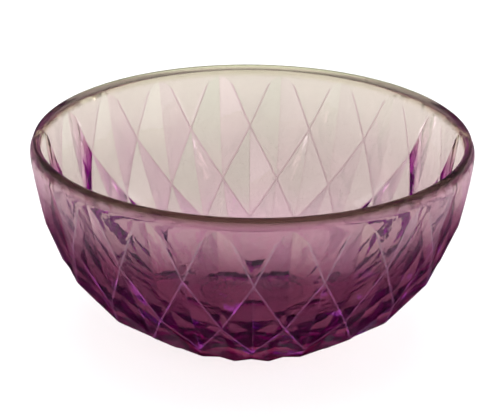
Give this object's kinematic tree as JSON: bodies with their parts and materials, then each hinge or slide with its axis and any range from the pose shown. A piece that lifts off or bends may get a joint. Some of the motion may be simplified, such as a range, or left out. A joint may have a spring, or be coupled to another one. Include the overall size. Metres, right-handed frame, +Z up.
{
  "type": "glass bowl",
  "caption": "Round pressed-glass serving bowl with a smooth rounded rim, a staggered diamond-cut pattern outside and a transparent plum colour coat.",
  "frame": {"origin": "centre of the plane that the foot rests on", "axes": "+Z up along the bowl's axis; a point of the second row of the diamond pattern faces -Y"},
  "size_m": [0.2034, 0.2034, 0.0912],
  "materials": {
    "clear_glass": "polished clear glass with a faint green edge",
    "plum_lustre": "transparent plum lustre, deeper towards the foot"
  },
  "bodies": {
    "root": {"glass_body": "clear_glass", "lustre_coat": "plum_lustre"}
  },
  "joints": []
}
